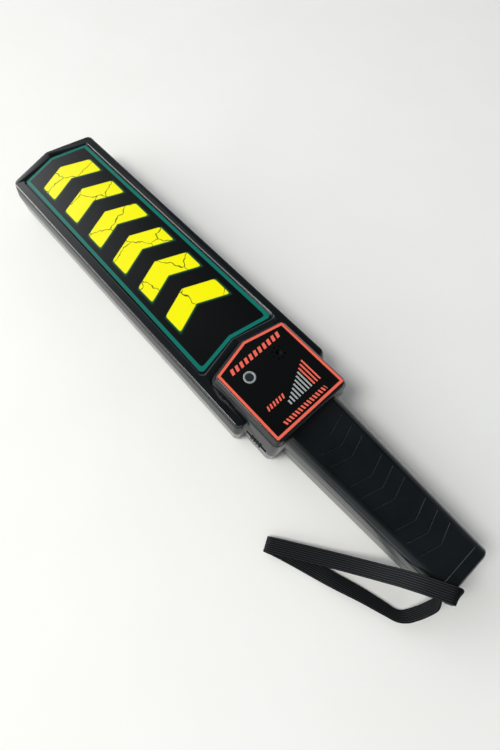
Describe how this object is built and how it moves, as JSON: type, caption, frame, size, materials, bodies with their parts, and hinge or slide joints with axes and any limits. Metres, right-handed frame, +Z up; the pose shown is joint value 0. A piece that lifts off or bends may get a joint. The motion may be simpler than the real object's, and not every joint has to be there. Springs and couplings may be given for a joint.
{
  "type": "security metal detector wand",
  "caption": "Hand-held metal detector wand: flat pointed search paddle, raised control block with lamp and switch, straight grip with a sliding battery cap and a flat wrist strap.",
  "frame": {"origin": "under the middle of the wand, on the surface that its flat back rests on; the strap is not counted", "axes": "+X from the nose of the paddle to the end of the grip, +Z up from the back to the face"},
  "size_m": [0.4166, 0.1123, 0.0409],
  "materials": {
    "housing": "fine satin texture",
    "label_print": "printed sheet with a fine grain",
    "lens": "clear moulded plastic",
    "lamp": "tinted",
    "black_plastic": "moulded",
    "button": "moulded",
    "steel": "plated",
    "board": "solder mask",
    "copper": "enamelled copper wire",
    "nylon": "natural nylon",
    "battery_case": "plain wrapped can",
    "foam": "closed cell foam",
    "strap": "ribbed elastic webbing",
    "red_wire": "insulated wire",
    "black_wire": "insulated wire",
    "blue_plastic": "moulded"
  },
  "bodies": {
    "housing": {"upper_shell": "housing", "lower_shell": "housing", "front_label": "label_print", "control_label": "label_print", "lamp_lens": "lens", "alarm_lamp": "lamp", "sounder": "black_plastic", "switch_case": "steel", "push_switch": "black_plastic", "circuit_board": "board", "detector_chip": "black_plastic", "trim_pot": "blue_plastic", "filter_capacitor": "black_plastic", "vibration_motor": "steel", "coil_former": "nylon", "search_coil": "copper", "coil_lead_left": "red_wire", "coil_lead_right": "black_wire", "battery": "battery_case", "battery_snap": "black_plastic", "battery_lead_black": "black_wire", "battery_lead_red": "red_wire", "battery_pad": "foam", "strap_anchor": "housing", "strap_clamp": "black_plastic", "wrist_strap": "strap", "board_screw_1": "steel", "board_screw_2": "steel", "shell_screw_1": "steel", "shell_screw_2": "steel", "shell_screw_3": "steel", "shell_screw_4": "steel", "shell_screw_5": "steel", "shell_screw_6": "steel"},
    "switch": {"switch_knob": "black_plastic"},
    "button": {"sensitivity_button": "button"},
    "battery_door": {"battery_cap": "housing"}
  },
  "joints": [
    {"name": "switch_slide", "type": "slide", "parent": "housing", "child": "switch", "axis": [1, 0, 0], "range_m": [-0.004, 0.004]},
    {"name": "button_press", "type": "slide", "parent": "housing", "child": "button", "axis": [0, -1, 0], "range_m": [0, 0.001], "stiffness_N_per_m": 500},
    {"name": "battery_cap_slide", "type": "slide", "parent": "housing", "child": "battery_door", "axis": [1, 0, 0], "range_m": [0, 0.026]}
  ]
}
